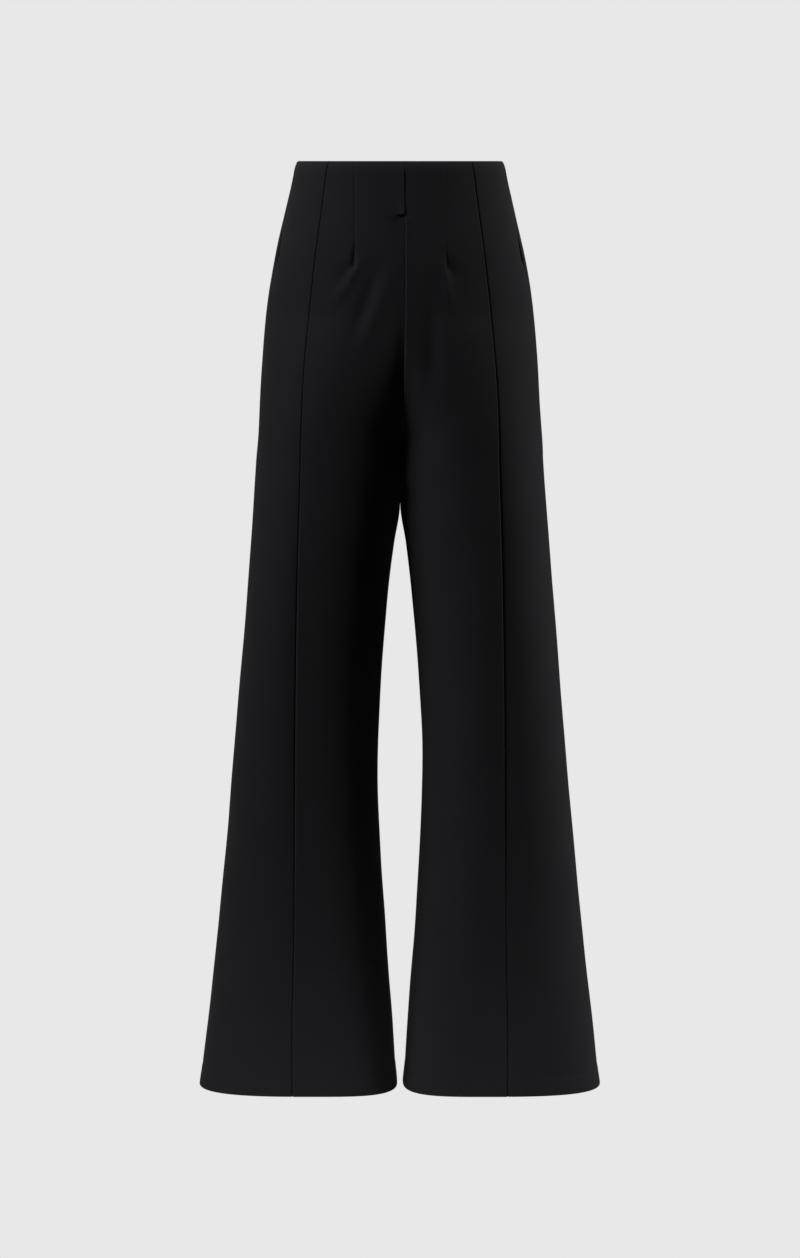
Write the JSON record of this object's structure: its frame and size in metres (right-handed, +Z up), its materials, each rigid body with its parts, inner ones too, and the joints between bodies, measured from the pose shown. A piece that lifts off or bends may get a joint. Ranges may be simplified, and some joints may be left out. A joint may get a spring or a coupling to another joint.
{
  "type": "trousers",
  "caption": "High-waisted wide straight-leg trousers in dark double knit, worn hollow shape with open waist and hems, long front seams, waist darts, side pockets and a centre fly.",
  "frame": {"origin": "middle of the waist opening, level with the waist edge, where the wearer's waist holds the trousers", "axes": "+Z up along the legs towards the waist, -Y towards the front of the garment, +X towards the wearer's left"},
  "size_m": [0.4694, 0.2289, 1.077],
  "materials": {
    "double_knit": "matt dense double knit, near black",
    "pocketing": "plain woven pocket lining, black"
  },
  "bodies": {
    "root": {"front_centre_right_hip": "double_knit", "front_centre_right_leg": "double_knit", "front_side_right_hip": "double_knit", "front_side_right_leg": "double_knit", "back_right_hip": "double_knit", "back_right_leg": "double_knit", "pocket_bag_right": "pocketing", "front_centre_left_hip": "double_knit", "front_centre_left_leg": "double_knit", "front_side_left_hip": "double_knit", "front_side_left_leg": "double_knit", "back_left_hip": "double_knit", "back_left_leg": "double_knit", "pocket_bag_left": "pocketing", "fly_underlap": "double_knit"}
  },
  "joints": []
}
